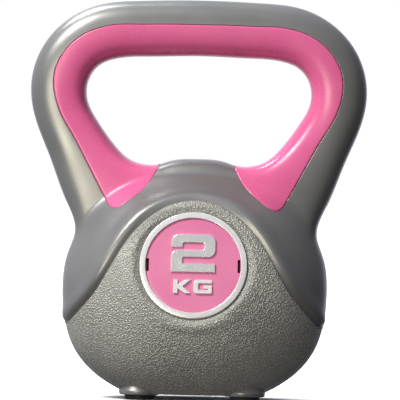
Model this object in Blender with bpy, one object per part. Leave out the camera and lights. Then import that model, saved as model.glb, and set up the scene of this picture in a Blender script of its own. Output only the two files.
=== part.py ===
"""Kettlebell of 2 kg with a hand window, a grip of two half shells and a round badge on each face.

The frame has its origin at the centre of the footprint, +Z up, +X to the right and -Y to the front.
Lengths below are in millimetres; meshes are written in metres.
"""

import math

import bmesh
import bpy
import numpy as np

MM = 0.001
GAP = 0.3

# Right halves of the upright outlines, as (x, z) from the top centre to the bottom centre.
BODY_OUTLINE = (
    (0, 191.3), (30, 190.5), (48, 188.4), (62, 182), (72.5, 172), (78.7, 160), (80.6, 147.5),
    (79, 136), (70.9, 115), (62.6, 94), (58, 79.5), (61, 70), (63.4, 51), (62, 37), (58.2, 25),
    (50.5, 14.5), (36, 4.5), (19, -1.6), (0, -3.6))
WINDOW_OUTLINE = (
    (0, 164.7), (22, 164.1), (38, 163.1), (48.5, 159), (53.5, 151), (53.4, 142), (48.8, 133),
    (40, 121), (32, 114), (25, 112), (20, 112), (13, 114.1), (0, 115.2))
BOWL_OUTLINE = (
    (0, 110), (24, 107.5), (43, 99), (54.5, 86), (59.2, 76), (63.4, 51), (62, 37), (58.2, 25),
    (50.5, 14.5), (36, 4.5), (19, -1.6), (0, -3.6))

# The grip's edge on the face: down the outside of the leg, then back up to the window.
GRIP_OUTER_EDGE = (
    (0, 179.4), (25, 179.1), (44, 178), (55, 174), (64, 166), (68.8, 156), (69, 147), (66.5, 138),
    (58, 123), (48.4, 105), (42, 93.2))
GRIP_END_EDGE = ((34.5, 92.6), (26.5, 99), (21.5, 105), (18.3, 110.5), (17.6, 116))
GRIP_END_X = 18.6

# Section lines across the wall: the place of each, and how far along the window and along the
# outline its ends are, from 0 at the top centre to 1 at the bottom centre.
SECTION_FAN = (
    (0, 0, 0), (0.14, 0.20, 0.13), (0.23, 0.315, 0.205), (0.32, 0.43, 0.285), (0.39, 0.52, 0.35),
    (0.52, 0.68, 0.44), (0.62, 0.77, 0.53), (0.72, 0.835, 0.65), (0.80, 0.875, 0.78),
    (0.88, 0.93, 0.88), (1, 1, 1))

FRAME_LOAD = 6.6
FRAME_LIMIT = 20.0
BOWL_DEPTH = 48.0
BOWL_POWER = 0.42
BOWL_MIDDLE = (0.0, 52.0)
BLEND_POWER = 4.0
SOFT_START = 0.12
SOFT_FROM_Z, SOFT_TO_Z = 55.0, 82.0

BASE_Z = 2.9
CAVITY_FLOOR_Z = 9.2
BODY_WALL = 3.0
HANDLE_WALL = 5.8
HANDLE_WALL_FROM_Z = 74.0
HANDLE_WALL_TO_Z = 90.0

GRIP_THICKNESS = 2.5
GRIP_SECTIONS = 57
GRIP_STEPS = 5
RECESS_HEIGHT = 2.0

BADGE_Z = 64.9
BADGE_DEPTH = 41.7
BADGE_TILT = math.radians(10.0)
BADGE_FLOOR = -3.4
RING_OUTER = 25.4
RING_INNER = 23.3
RING_TOP = 0.8
RING_BEVEL = 0.5
DISC_RADIUS = 23.0
DISC_BEVEL = 0.3
SLOT_X = 21.0
SLOT_WIDTH = 1.5
SLOT_HEIGHT = 6.4
FIGURE_THICKNESS = 0.8
POCKET_EDGE = -0.8
LIP_RADIUS = 29.6
LIP_HEIGHT = 1.0
POCKET_CLEARANCE = 9.0

FOOT_X = 25.0
FOOT_Y = 16.5
FOOT_RADIUS = 7.1
FOOT_HEIGHT = 2.1
FOOT_CHAMFER = 0.6
STEM_RADIUS = 2.8
STEM_TOP_Z = 6.4
BOSS_RADIUS = 10.3
BOSS_BOTTOM_Z = 2.4
BOSS_TOP_Z = 14.0

BASE_CUT_WIDTH = 90.0
BASE_CUT_DEPTH = 20.0
CUT_BEYOND = 2.0

HOLE_RADIUS = 8.3
PLUG_HEAD_RADIUS = 11.0
PLUG_HEAD_TOP_Z = 4.9

# Block figures, as closed outlines (x, z) from the badge's centre; a bend is a short chamfer.
FIGURE_TWO = (
    (-10.9, 8.6), (-10.9, 11.4), (-7.7, 14.6), (7.4, 14.6), (10.6, 11.4), (10.6, 6.6), (7.4, 3.6),
    (-5.4, 3.6), (-5.4, 0.6), (10.7, 0.6), (10.7, -3.3), (-10.9, -3.3), (-10.9, 4.3), (-7.7, 7.3),
    (5.1, 7.3), (5.1, 10.8), (-5.4, 10.8), (-5.4, 8.6))
LETTER_K = (
    (-9.4, -7.0), (-7.2, -7.0), (-7.2, -9.3), (-3.4, -7.0), (-0.7, -7.0), (-5.0, -10.4),
    (-0.7, -13.8), (-3.4, -13.8), (-7.2, -11.4), (-7.2, -13.8), (-9.4, -13.8))
LETTER_G = (
    (1.6, -6.8), (9.6, -6.8), (9.6, -8.7), (2.6, -8.7), (2.6, -11.8), (7.5, -11.8), (7.5, -11.1),
    (5.4, -11.1), (5.4, -9.4), (9.6, -9.4), (9.6, -13.6), (1.6, -13.6), (0.4, -12.4), (0.4, -8.0))

GREY = (0.26, 0.26, 0.245, 1)
PINK = (0.78, 0.17, 0.32, 1)
PINK_DISC = (0.84, 0.25, 0.42, 1)
CHROME = (0.85, 0.85, 0.84, 1)
BLACK = (0.012, 0.012, 0.014, 1)
CEMENT = (0.42, 0.40, 0.36, 1)


# ---------------------------------------------------------------- outlines and surfaces

class ClosedCurve:
    """Smooth closed curve through the points of a right half outline and its mirror image."""

    def __init__(self, half):
        right = np.array(half, float)
        left = right[-2:0:-1] * (-1, 1)
        self.knots = np.vstack([right, left, right[:1]])
        spans = np.hypot(*np.diff(self.knots, axis=0).T)
        self.stations = np.concatenate([[0], np.cumsum(spans)])
        self.bends = self.solve_bends(spans)

    def solve_bends(self, spans):
        count = len(spans)
        matrix = np.zeros((count, count))
        right_side = np.zeros((count, 2))
        for i in range(count):
            before, after = spans[i - 1], spans[i]
            matrix[i, i - 1] += before
            matrix[i, i] += 2 * (before + after)
            matrix[i, (i + 1) % count] += after
            rise_after = (self.knots[i + 1] - self.knots[i]) / after
            rise_before = (self.knots[i] - self.knots[i - 1 if i else count - 1]) / before
            right_side[i] = 6 * (rise_after - rise_before)
        bends = np.linalg.solve(matrix, right_side)
        return np.vstack([bends, bends[:1]])

    def at(self, fraction):
        """Points at fractions of the way round, clockwise from the top centre."""
        station = np.mod(fraction, 1.0) * self.stations[-1]
        i = np.clip(np.searchsorted(self.stations, station, side="right") - 1, 0,
                    len(self.stations) - 2)
        span = (self.stations[i + 1] - self.stations[i])[..., None]
        b = (station - self.stations[i])[..., None] / span
        a = 1 - b
        line = a * self.knots[i] + b * self.knots[i + 1]
        sag = (a ** 3 - a) * self.bends[i] + (b ** 3 - b) * self.bends[i + 1]
        return line + sag * span ** 2 / 6

    def outward(self, fraction):
        step = 0.001
        tangent = self.at(fraction + step) - self.at(fraction - step)
        tangent /= np.linalg.norm(tangent, axis=-1, keepdims=True)
        return np.stack([-tangent[..., 1], tangent[..., 0]], axis=-1)


class Film:
    """Height of an evenly loaded film stretched between outlines, zero on each of them.

    The height is a paraboloid plus point sources that stand clear of the film's own area.
    """

    UNIT = 100.0

    def __init__(self, rims):
        edges, sources = [], []
        for curve, offset, count in rims:
            fine = np.arange(2 * count) / (2 * count)
            coarse = np.arange(count) / count
            edges.append(curve.at(fine))
            sources.append(curve.at(coarse) + offset * curve.outward(coarse))
        self.sources = np.vstack(sources) / self.UNIT
        edge = np.vstack(edges) / self.UNIT
        load = (edge ** 2).sum(axis=1) / 4
        self.weights = np.linalg.lstsq(self.terms(edge), load, rcond=1e-12)[0]

    def terms(self, points):
        apart = points[:, None, :] - self.sources[None, :, :]
        logs = 0.5 * np.log((apart ** 2).sum(axis=2))
        return np.hstack([logs, np.ones((len(points), 1))])

    def height(self, points):
        """Height in square millimetres for a load of one, at points (..., 2)."""
        flat = points.reshape(-1, 2) / self.UNIT
        value = self.terms(flat) @ self.weights - (flat ** 2).sum(axis=1) / 4
        return np.maximum(value, 0).reshape(points.shape[:-1]) * self.UNIT ** 2


BODY = ClosedCurve(BODY_OUTLINE)
WINDOW = ClosedCurve(WINDOW_OUTLINE)
BOWL = ClosedCurve(BOWL_OUTLINE)
FRAME_FILM = Film([(BODY, 6.0, 260), (WINDOW, -5.0, 160)])
BOWL_FILM = Film([(BOWL, 6.0, 260)])
BOWL_PEAK = BOWL_FILM.height(np.array([BOWL_MIDDLE]))[0]


def smoothstep(value):
    value = np.clip(value, 0, 1)
    return value * value * (3 - 2 * value)


def bowl_share(points):
    """Height of the bowl's film as a share of its peak, and nothing beyond the bowl's outline."""
    rim = BOWL.at(np.arange(400) / 400) - BOWL_MIDDLE
    apart = points - BOWL_MIDDLE
    reach = np.interp(np.arctan2(apart[..., 0], apart[..., 1]), np.arctan2(rim[:, 0], rim[:, 1]),
                      np.hypot(rim[:, 0], rim[:, 1]), period=2 * math.pi)
    inside = np.hypot(apart[..., 0], apart[..., 1]) < reach
    return np.where(inside, BOWL_FILM.height(points) / BOWL_PEAK, 0)


def half_depth(points):
    """Distance of the skin from the mid-plane: a rounded frame that swells into a bowl.

    The bowl starts softly where it grows out of the handle's legs.
    """
    frame = FRAME_LOAD * FRAME_FILM.height(points)
    frame = frame / (1 + frame / FRAME_LIMIT ** 2)
    share = bowl_share(points)
    soft = SOFT_START * smoothstep((points[..., 1] - SOFT_FROM_Z) / (SOFT_TO_Z - SOFT_FROM_Z))
    share = share * share * (1 + soft) / (share + soft + 1e-9)
    bowl = BOWL_DEPTH * share ** BOWL_POWER
    return (frame ** (BLEND_POWER / 2) + bowl ** BLEND_POWER) ** (1 / BLEND_POWER)


def section_ends(t):
    """Window and outline ends of the section lines at t, from 0 to 1 clockwise from the top."""
    half = np.where(t <= 0.5, 2 * t, 2 - 2 * t)
    places, window_shares, outline_shares = np.array(SECTION_FAN, float).T
    along_window = np.interp(half, places, window_shares)
    along_outline = np.interp(half, places, outline_shares)
    window = WINDOW.at(np.where(t <= 0.5, along_window / 2, 1 - along_window / 2))
    outline = BODY.at(np.where(t <= 0.5, along_outline / 2, 1 - along_outline / 2))
    return window, outline


def skin_grid(t, turn):
    """Skin points at section lines t and turns round the wall, 0 at the window, pi outside.

    Turns from 0 to pi run over the front, and negative turns over the rear.
    """
    window, outline = section_ends(t)
    share = (1 - np.cos(turn)) / 2
    flat = window[:, None, :] + (outline - window)[:, None, :] * share[..., None]
    depth = half_depth(flat)
    edge = np.isclose(share, 0) | np.isclose(share, 1)
    depth = np.where(edge, 0, depth)
    return np.stack([flat[..., 0], -np.sign(np.sin(turn)) * depth, flat[..., 1]], axis=-1)


def grid_normals(grid, closed):
    """Unit normals of a grid of points, pointing out of the skin; a closed grid joins up both ways."""
    if closed:
        steps = [np.roll(grid, -1, axis) - np.roll(grid, 1, axis) for axis in (0, 1)]
    else:
        steps = [np.gradient(grid, axis=axis) for axis in (0, 1)]
    normal = np.cross(*steps)
    return normal / np.linalg.norm(normal, axis=-1, keepdims=True)


# ---------------------------------------------------------------- mesh helpers

def new_material(name, colour, roughness, metallic=0.0):
    material = bpy.data.materials.new(name)
    material.use_nodes = True
    shader = material.node_tree.nodes["Principled BSDF"]
    shader.inputs["Base Color"].default_value = colour
    shader.inputs["Roughness"].default_value = roughness
    shader.inputs["Metallic"].default_value = metallic
    return material


def new_object(name, points, faces, material=None):
    """Object from points in millimetres, with its faces turned outward."""
    mesh = bpy.data.meshes.new(name)
    mesh.from_pydata([tuple(MM * float(value) for value in point) for point in points], [], faces)
    work = bmesh.new()
    work.from_mesh(mesh)
    bmesh.ops.recalc_face_normals(work, faces=work.faces)
    work.to_mesh(mesh)
    work.free()
    mesh.shade_smooth()
    mesh.set_sharp_from_angle(angle=math.radians(35))
    if material:
        mesh.materials.append(material)
    item = bpy.data.objects.new(name, mesh)
    bpy.context.scene.collection.objects.link(item)
    return item


def closed_ring(name, grid, material=None):
    """Closed skin from a grid that joins up both ways, in triangles so that nested skins match."""
    rows, columns = grid.shape[:2]
    faces = []
    for i in range(rows):
        for j in range(columns):
            right, up = (i + 1) % rows, (j + 1) % columns
            a, b = i * columns + j, right * columns + j
            c, d = right * columns + up, i * columns + up
            faces += [(a, b, c), (a, c, d)]
    return new_object(name, grid.reshape(-1, 3), faces, material)


def sandwich(name, top, bottom, material=None, mirrored_columns=0):
    """Closed solid between two open grids; the first columns may have their diagonals mirrored."""
    rows, columns = top.shape[:2]
    count = rows * columns
    faces = []
    for i in range(rows - 1):
        for j in range(columns - 1):
            a, b = i * columns + j, (i + 1) * columns + j
            halves = ((a, b, b + 1), (a, b + 1, a + 1))
            if j < mirrored_columns:
                halves = ((a, b, a + 1), (b, b + 1, a + 1))
            for first, second, third in halves:
                faces.append((first, second, third))
                faces.append((first + count, third + count, second + count))
    rim = [i * columns for i in range(rows)]
    rim += [(rows - 1) * columns + j for j in range(1, columns)]
    rim += [i * columns + columns - 1 for i in range(rows - 2, -1, -1)]
    rim += [j for j in range(columns - 2, 0, -1)]
    for a, b in zip(rim, rim[1:] + rim[:1]):
        faces.append((a, a + count, b + count, b))
    return new_object(name, np.vstack([top.reshape(-1, 3), bottom.reshape(-1, 3)]), faces, material)


def turned(profile, sides, place):
    """Points and faces of a solid of revolution; a profile end on the axis closes to a point."""
    points, rings = [], []
    for radius, height in profile:
        if radius == 0:
            rings.append([len(points)] * sides)
            points.append(place(0.0, 0.0, height))
            continue
        rings.append([len(points) + k for k in range(sides)])
        for k in range(sides):
            angle = 2 * math.pi * k / sides
            points.append(place(radius * math.cos(angle), radius * math.sin(angle), height))
    faces = []
    closed = profile[0][0] > 0
    pairs = list(zip(rings, rings[1:])) + ([(rings[-1], rings[0])] if closed else [])
    for low, high in pairs:
        for k in range(sides):
            after = (k + 1) % sides
            corners = (low[k], low[after], high[after], high[k])
            faces.append(tuple(dict.fromkeys(corners)))
    return points, faces


def join_shapes(shapes):
    points, faces = [], []
    for more_points, more_faces in shapes:
        shift = len(points)
        points += more_points
        faces += [tuple(index + shift for index in face) for face in more_faces]
    return points, faces


def prism(outline, low, high, place):
    """Straight-sided solid over an outline (x, z)."""
    count = len(outline)
    points = [place(x, z, low) for x, z in outline] + [place(x, z, high) for x, z in outline]
    faces = [tuple(range(count)), tuple(range(2 * count - 1, count - 1, -1))]
    faces += [(k, (k + 1) % count, (k + 1) % count + count, k + count) for k in range(count)]
    return points, faces


def cutter(name, shape):
    item = new_object(name, *shape)
    return hide_cutter(item)


def hide_cutter(item):
    item.hide_render = True
    item.display_type = "WIRE"
    return item


def add_boolean(item, other, operation):
    step = item.modifiers.new(other.name, "BOOLEAN")
    step.operation = operation
    step.object = other
    step.solver = "EXACT"


# ---------------------------------------------------------------- placing

def upright(x0, y0):
    """Place a turned shape on a vertical axis through (x0, y0)."""
    return lambda u, v, height: (x0 + u, y0 + v, height)


def on_badge(side):
    """Place (across, up, out) on a badge plane; side is -1 at the front and 1 at the rear."""
    def place(across, up, out):
        cosine, sine = math.cos(BADGE_TILT), math.sin(BADGE_TILT)
        depth = BADGE_DEPTH + out * cosine - up * sine
        return (-side * across, side * depth, BADGE_Z + up * cosine + out * sine)
    return place


def inset(grid, normals, extra):
    """Move a skin grid inward by the wall that each height needs, plus some extra."""
    share = smoothstep((grid[..., 2] - HANDLE_WALL_FROM_Z) / (HANDLE_WALL_TO_Z - HANDLE_WALL_FROM_Z))
    wall = BODY_WALL + (HANDLE_WALL - BODY_WALL) * share + extra
    moved = grid - normals * wall[..., None]
    moved[..., 2] = np.maximum(moved[..., 2], CAVITY_FLOOR_Z + extra)
    room = BADGE_DEPTH + BADGE_FLOOR - BODY_WALL - extra - (moved[..., 2] - BADGE_Z) * math.tan(BADGE_TILT)
    moved[..., 1] = np.clip(moved[..., 1], -room, room)
    return moved


def full_grid(sections, turns):
    t = np.arange(sections) / sections
    turn = np.broadcast_to(2 * np.pi * np.arange(turns) / turns, (sections, turns))
    return skin_grid(t, np.where(turn > np.pi + 1e-9, turn - 2 * np.pi, turn))


# ---------------------------------------------------------------- grip

def grip_edge_line():
    """Right half of the grip's edge as a fine line with a sharp bottom corner."""
    outer = open_curve(GRIP_OUTER_EDGE, 80)
    end = open_curve(GRIP_END_EDGE, 40)
    return np.vstack([outer, end])


def open_curve(points, count):
    """Smooth open curve through points, as evenly spaced points of its own."""
    knots = np.array(points, float)
    spans = np.hypot(*np.diff(knots, axis=0).T)
    stations = np.concatenate([[0], np.cumsum(spans)])
    slopes = np.gradient(knots, stations, axis=0)
    where = np.linspace(0, stations[-1], count)
    i = np.clip(np.searchsorted(stations, where, side="right") - 1, 0, len(spans) - 1)
    span = spans[i][:, None]
    b = (where - stations[i])[:, None] / span
    hermite = (
        (1 + 2 * b) * (1 - b) ** 2 * knots[i] + b * (1 - b) ** 2 * span * slopes[i]
        + b * b * (3 - 2 * b) * knots[i + 1] + b * b * (b - 1) * span * slopes[i + 1])
    return hermite


def grip_share(t, border):
    """How far along each section line the grip reaches, pulled in by a border."""
    line = grip_edge_line()
    window, outline = section_ends(t)
    window = window * np.where(window[:, :1] < 0, (-1, 1), (1, 1))
    outline = outline * np.where(outline[:, :1] < 0, (-1, 1), (1, 1))
    shares = []
    for start, stop in zip(window, outline):
        along = stop - start
        length = np.hypot(*along)
        offset = line - start
        side = (offset[:, 0] * along[1] - offset[:, 1] * along[0]) / length
        reach = (offset @ along) / length
        cross = np.nonzero((side[:-1] * side[1:] <= 0) & (reach[1:] > -1))[0]
        hits = []
        for k in cross:
            blend = side[k] / (side[k] - side[k + 1])
            hits.append(reach[k] + blend * (reach[k + 1] - reach[k]))
        shares.append(max(min(hits, default=0) - border, 0.5) / length)
    return np.array(shares)


def grip_sections(count, border):
    """Section lines from one end of the grip to the other, over the top, pulled in by a border."""
    t = np.linspace(0.30, 0.5, 2001)
    end = t[np.argmax(section_ends(t)[0][:, 0] < GRIP_END_X + border)]
    even = np.linspace(-1, 1, count)
    spread = np.sign(even) * (1 - (1 - np.abs(even)) ** 1.35)
    return np.mod(spread * end, 1.0)


def grip_grid(t, border, steps):
    """Skin points and normals of the grip's band, both faces, from edge to edge."""
    reach = np.arccos(1 - 2 * grip_share(t, border))
    turn = reach[:, None] * np.linspace(-1, 1, 2 * steps + 1)[None, :]
    grid = skin_grid(t, turn)
    return grid, grid_normals(grid, False)


def make_grips(material):
    grid, normals = grip_grid(grip_sections(GRIP_SECTIONS, 3 * GAP), GAP, GRIP_STEPS)
    middle = grid.shape[1] // 2
    for name, side in (("grip_front", -1), ("grip_rear", 1)):
        columns = slice(middle, None) if side < 0 else slice(middle, None, -1)
        top = grid[:, columns].copy()
        under = top - GRIP_THICKNESS * normals[:, columns]
        for layer in (top, under):
            layer[..., 1] = side * np.maximum(side * layer[..., 1], GAP / 2)
        sandwich(name, top, under, material)


def grip_recess():
    """Cutter that reaches out through the skin and leaves a gap under the grip and at its edges."""
    grid, normals = grip_grid(grip_sections(GRIP_SECTIONS, -GAP), -GAP, GRIP_STEPS)
    depth = GRIP_THICKNESS + 2 * GAP
    above, below = grid + RECESS_HEIGHT * normals, grid - depth * normals
    return hide_cutter(sandwich("grip_recess", above, below, None, grid.shape[1] // 2))


# ---------------------------------------------------------------- shell, ballast, feet and plug

def make_shell(material):
    shell = closed_ring("shell", full_grid(72, 22), material)
    wide = BASE_CUT_WIDTH
    square = [(-wide, -wide), (wide, -wide), (wide, wide), (-wide, wide)]
    floor = cutter("floor_cut", prism(square, -BASE_CUT_DEPTH, BASE_Z, upright(0, 0)))
    add_boolean(shell, floor, "DIFFERENCE")
    boss = [(0, BOSS_BOTTOM_Z), (BOSS_RADIUS, BOSS_BOTTOM_Z), (BOSS_RADIUS, BOSS_TOP_Z), (0, BOSS_TOP_Z)]
    bosses = cutter("bosses", join_shapes([turned(boss, 28, upright(x, y)) for x, y in foot_places()]))
    add_boolean(shell, bosses, "UNION")
    grid = full_grid(48, 12)
    cavity = closed_ring("cavity", inset(grid, grid_normals(grid, True), 0.0))
    add_boolean(shell, hide_cutter(cavity), "DIFFERENCE")
    socket_top = STEM_TOP_Z + GAP
    socket = [(0, 0), (STEM_RADIUS + GAP, 0), (STEM_RADIUS + GAP, socket_top), (0, socket_top)]
    filler = [
        (0, 0), (PLUG_HEAD_RADIUS + GAP, 0), (PLUG_HEAD_RADIUS + GAP, PLUG_HEAD_TOP_Z + GAP),
        (HOLE_RADIUS, PLUG_HEAD_TOP_Z + GAP), (HOLE_RADIUS, CAVITY_FLOOR_Z + CUT_BEYOND),
        (0, CAVITY_FLOOR_Z + CUT_BEYOND)]
    holes = [turned(socket, 16, upright(x, y)) for x, y in foot_places()]
    holes.append(turned(filler, 32, upright(0, 0)))
    add_boolean(shell, cutter("base_holes", join_shapes(holes)), "DIFFERENCE")
    add_boolean(shell, grip_recess(), "DIFFERENCE")
    pocket = [
        (0, BADGE_FLOOR), (RING_OUTER + GAP, BADGE_FLOOR), (RING_OUTER + GAP, POCKET_EDGE),
        (LIP_RADIUS, LIP_HEIGHT), (LIP_RADIUS + POCKET_CLEARANCE / 2, POCKET_CLEARANCE),
        (0, POCKET_CLEARANCE)]
    pockets = cutter("badge_pockets", join_shapes([turned(pocket, 56, on_badge(s)) for s in (-1, 1)]))
    add_boolean(shell, pockets, "DIFFERENCE")


def make_ballast(material):
    grid = full_grid(48, 12)
    closed_ring("ballast_core", inset(grid, grid_normals(grid, True), 2 * GAP), material)


def foot_places():
    return [(x, y) for x in (-FOOT_X, FOOT_X) for y in (-FOOT_Y, FOOT_Y)]


def make_feet(material):
    profile = [
        (0, 0), (FOOT_RADIUS - FOOT_CHAMFER, 0), (FOOT_RADIUS, FOOT_CHAMFER), (FOOT_RADIUS, FOOT_HEIGHT),
        (STEM_RADIUS, FOOT_HEIGHT), (STEM_RADIUS, STEM_TOP_Z), (0, STEM_TOP_Z)]
    for x, y in foot_places():
        name = "foot_" + ("front" if y < 0 else "rear") + ("_left" if x < 0 else "_right")
        new_object(name, *turned(profile, 24, upright(x, y)), material)


def make_plug(material):
    stem_top = CAVITY_FLOOR_Z - GAP / 2
    profile = [
        (0, BASE_Z + GAP), (PLUG_HEAD_RADIUS, BASE_Z + GAP), (PLUG_HEAD_RADIUS, PLUG_HEAD_TOP_Z),
        (HOLE_RADIUS - GAP, PLUG_HEAD_TOP_Z), (HOLE_RADIUS - GAP, stem_top), (0, stem_top)]
    new_object("filler_plug", *turned(profile, 28, upright(0, 0)), material)


# ---------------------------------------------------------------- badges

def make_badge(face, side, disc_material, metal):
    place = on_badge(side)
    floor = BADGE_FLOOR + GAP
    ring = [
        (RING_INNER, floor), (RING_OUTER, floor), (RING_OUTER, RING_TOP - RING_BEVEL),
        (RING_OUTER - RING_BEVEL, RING_TOP), (RING_INNER + RING_BEVEL, RING_TOP),
        (RING_INNER, RING_TOP - RING_BEVEL)]
    new_object("badge_ring_" + face, *turned(ring, 48, place), metal)
    disc = [
        (0, floor), (DISC_RADIUS, floor), (DISC_RADIUS, -DISC_BEVEL), (DISC_RADIUS - DISC_BEVEL, 0), (0, 0)]
    item = new_object("badge_disc_" + face, *turned(disc, 48, place), disc_material)
    half_w, half_h = SLOT_WIDTH / 2, SLOT_HEIGHT / 2
    slots = []
    for x in (-SLOT_X, SLOT_X):
        outline = [(x - half_w, -half_h), (x + half_w, -half_h), (x + half_w, half_h), (x - half_w, half_h)]
        slots.append(prism(outline, floor - CUT_BEYOND, CUT_BEYOND, place))
    add_boolean(item, cutter("badge_slots_" + face, join_shapes(slots)), "DIFFERENCE")
    for name, outline in (("figure_2_", FIGURE_TWO), ("letter_k_", LETTER_K), ("letter_g_", LETTER_G)):
        new_object(name + face, *prism(outline, GAP, GAP + FIGURE_THICKNESS, place), metal)


def clear_scene():
    for item in list(bpy.data.objects):
        bpy.data.objects.remove(item, do_unlink=True)


def main():
    clear_scene()
    grey = new_material("satin_grey_plastic", GREY, 0.45)
    pink = new_material("gloss_pink_plastic", PINK, 0.22)
    disc = new_material("gloss_pink_disc", PINK_DISC, 0.2)
    metal = new_material("bright_metal", CHROME, 0.12, 1.0)
    rubber = new_material("black_rubber", BLACK, 0.7)
    cement = new_material("cement", CEMENT, 0.9)
    make_shell(grey)
    make_ballast(cement)
    make_grips(pink)
    make_badge("front", -1, disc, metal)
    make_badge("rear", 1, disc, metal)
    make_feet(rubber)
    make_plug(new_material("plug_plastic", GREY, 0.5))


main()
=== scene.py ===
"""Looks of the 2 kg kettlebell: its fine surfaces, materials, light and camera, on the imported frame.

Lengths are millimetres unless a comment says otherwise; meshes are written in metres.
"""

import math

import bmesh
import bpy
import numpy as np
from mathutils import Matrix, Vector


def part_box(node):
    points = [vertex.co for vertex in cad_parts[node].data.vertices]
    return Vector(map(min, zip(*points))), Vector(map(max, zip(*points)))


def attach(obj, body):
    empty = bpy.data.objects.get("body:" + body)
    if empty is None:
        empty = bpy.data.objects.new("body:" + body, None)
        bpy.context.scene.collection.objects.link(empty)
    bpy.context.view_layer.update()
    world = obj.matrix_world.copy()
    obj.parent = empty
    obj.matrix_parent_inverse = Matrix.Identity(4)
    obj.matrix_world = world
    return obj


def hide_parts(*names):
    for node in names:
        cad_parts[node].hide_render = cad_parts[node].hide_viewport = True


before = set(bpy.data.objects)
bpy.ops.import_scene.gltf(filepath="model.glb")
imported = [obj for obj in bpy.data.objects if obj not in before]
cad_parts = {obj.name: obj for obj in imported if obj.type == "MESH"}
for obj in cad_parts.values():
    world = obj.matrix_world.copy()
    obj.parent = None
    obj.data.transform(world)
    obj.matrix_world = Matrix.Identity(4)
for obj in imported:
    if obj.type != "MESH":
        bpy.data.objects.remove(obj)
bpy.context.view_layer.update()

MM = 0.001

# Right halves of the upright outlines, as (x, z) from the top centre to the bottom centre.
LOWER_OUTLINE = (
    (63.4, 51), (62, 37), (58.2, 25), (50.5, 14.5), (36, 4.5), (19, -1.6), (0, -3.6))
BODY_OUTLINE = (
    (0, 191.3), (30, 190.5), (48, 188.4), (62, 182), (72.5, 172), (78.7, 160), (80.6, 147.5),
    (79, 136), (70.9, 115), (62.6, 94), (58, 79.5), (61, 70), *LOWER_OUTLINE)
BOWL_OUTLINE = ((0, 110), (24, 107.5), (43, 99), (54.5, 86), (59.2, 76), *LOWER_OUTLINE)
WINDOW_OUTLINE = (
    (0, 164.7), (22, 164.1), (38, 163.1), (48.5, 159), (53.5, 151), (53.4, 142), (48.8, 133),
    (40, 121), (32, 114), (25, 112), (20, 112), (13, 114.1), (0, 115.2))
# The grip's edge: down the outside of the leg, round its toe and back up to the window.
GRIP_EDGE = (
    (0, 179.4), (25, 179.1), (44, 178), (55, 174), (64, 166), (68.8, 156), (69, 147), (66.5, 138),
    (58, 123), (48.4, 105), (43.3, 95.6), (41.4, 92.4), (38.7, 91.1), (35.4, 92.2), (30.5, 95.8),
    (25.5, 100), (21.2, 105.3), (18.6, 110), (17.8, 112.55))
# The groove between the smooth skin and the grained bowl: over the badge and out to the side.
GROOVE_LINE = (
    (0, 96), (12, 93.6), (22.5, 87.2), (30, 79.3), (35.9, 70.5), (41, 61.5), (46.8, 51.8), (54, 43),
    (60.9, 35.4))

# Places on the inner edge of the smooth skin that face places on its outer edge.
SKIN_PAIRS = (
    ((0, 179.4), (0, 191.3)), ((44, 178), (46.5, 188.7)), ((64, 166), (74, 169.6)),
    ((69.2, 150), (80.5, 151)), ((66.5, 138), (79.3, 137)), ((58, 123), (71.6, 117)),
    ((48.4, 105), (64.3, 98.3)), ((43.3, 95.6), (59.8, 86.5)), ((41.2, 92.2), (60.2, 72.5)),
    ((39.5, 91.2), (60.9, 35.4)), ((37.2, 91.4), (45.5, 54)), ((34.5, 92.8), (35.9, 70.5)),
    ((26.5, 99.1), (23.5, 86.3)), ((21.2, 105.3), (15.5, 92.1)), ((17.8, 112.55), (10.2, 94.2)),
    ((9, 114.8), (5, 95.6)), ((0, 115.2), (0, 96)))
# Places on the window's outline that face places on the grip's edge.
GRIP_PAIRS = (
    ((0, 164.7), (0, 179.4)), ((38, 163.1), (44, 178)), ((48.5, 159), (61.5, 169)),
    ((53.8, 148), (69.2, 150)), ((52.2, 139.3), (66.5, 138)), ((45, 127.3), (58, 123)),
    ((35.6, 116.6), (48.4, 105)), ((30.5, 113.3), (43.3, 95.6)), ((27.5, 112.5), (38.7, 91.1)),
    ((24.8, 112), (34.5, 92.8)), ((21.8, 111.9), (26.5, 99.1)), ((20, 112), (21.2, 105.3)),
    ((18.4, 112.4), (18.3, 111)), ((17.9, 112.5), (17.8, 112.55)))

# The skin's depth is a rounded frame blended with a bowl, by part.py's formula.
FRAME_LOAD = 6.6
FRAME_LIMIT = 20.0
BOWL_DEPTH = 48.0
BOWL_POWER = 0.42
BOWL_MIDDLE = np.array((0.0, 52.0))
BLEND_POWER = 4.0
BASE_Z = 2.9
# Below the first height the bowl starts at once from its outline, and above the second softly.
SOFT_START = 0.12
SOFT_FROM_Z, SOFT_TO_Z = 55.0, 82.0
# Point sources that hold a film at its outline, as (distance outward, count).
OUTER_SOURCES, WINDOW_SOURCES = (6.0, 260), (-5.0, 160)

# The badge's plane, and the skin round it: a lip over the plane, then a dish down to the pocket.
BADGE_DEPTH = 41.7
BADGE_TILT = math.radians(10.0)
BADGE_Z = 64.9
LIP_LOW, LIP_HIGH = 0.4, 1.0
FLAT_FROM, FLAT_TO = 28.0, 33.5
DISH_RADIUS, DISH_LEVEL = 28.7, -0.9
POCKET_RADIUS, POCKET_STEP, POCKET_FLOOR = 25.6, -1.2, -3.4

# The grip halves, the recess that takes them, and the seam between them.
GRIP_THICKNESS = 2.5
GRIP_PROUD = 0.12
GRIP_GAP = 0.12
GRIP_ROUND = 0.8
GRIP_STEADY_WIDTH = 5.0
RECESS_ROUND = 0.2
RECESS_LEVELS = (RECESS_ROUND, 1.2, 2.9)
RECESS_FADE = 4.0
SEAM_HALF_GAP = 0.08
SEAM_ROUND = 0.4

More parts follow.
